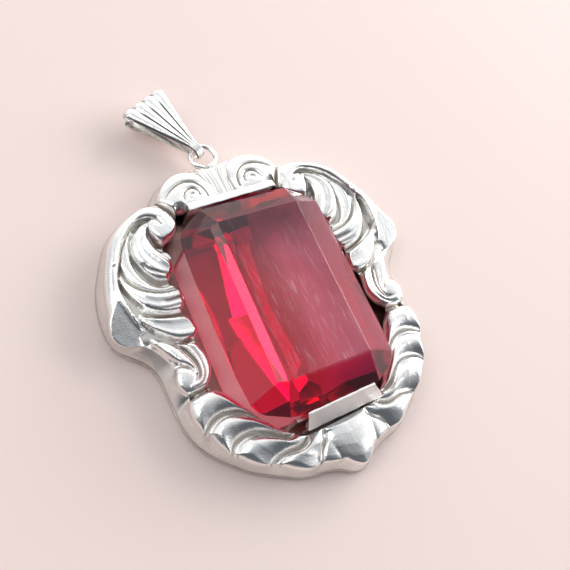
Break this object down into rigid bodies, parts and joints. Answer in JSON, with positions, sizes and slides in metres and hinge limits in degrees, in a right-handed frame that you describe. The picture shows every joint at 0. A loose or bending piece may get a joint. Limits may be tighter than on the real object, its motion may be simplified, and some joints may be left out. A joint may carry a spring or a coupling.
{
  "type": "scroll-framed pendant with step-cut stone",
  "caption": "Hollow struck silver scroll frame on a flat back, with a large octagonal red glass stone held by bent tabs, a soldered ring and a fluted tapered bail that swings.",
  "frame": {"origin": "on the back plane, in the middle of the whole length and width; the stone's centre is 6.7 mm below it along Y", "axes": "+Z out of the face, +Y towards the ring and bail, +X to the right of someone facing the face"},
  "size_m": [0.043, 0.0588, 0.0088],
  "materials": {
    "silver_relief": "polished die-struck silver, darkened in the grooves",
    "silver_plate": "satin silver sheet",
    "silver_strip": "polished silver strip with file marks",
    "silver_wire": "polished silver wire",
    "silver_bail": "polished fluted silver, darkened in the flutes",
    "solder": "dull silver solder",
    "red_glass": "transparent ruby-red glass, polished facets with fine scratches"
  },
  "bodies": {
    "frame": {"front_shell": "silver_relief", "back_plate": "silver_plate", "stone": "red_glass", "upper_tab": "silver_strip", "lower_tab": "silver_strip", "upper_seat": "silver_strip", "lower_seat": "silver_strip", "hanging_ring": "silver_wire", "ring_solder": "solder"},
    "bail": {"bail": "silver_bail"}
  },
  "joints": [
    {"name": "bail_swing", "type": "hinge", "parent": "frame", "child": "bail", "pos_m": [-0.00068, 0.01861, 0.0027], "axis": [0.9205, 0.3907, 0], "range_deg": [-105, 130]}
  ]
}
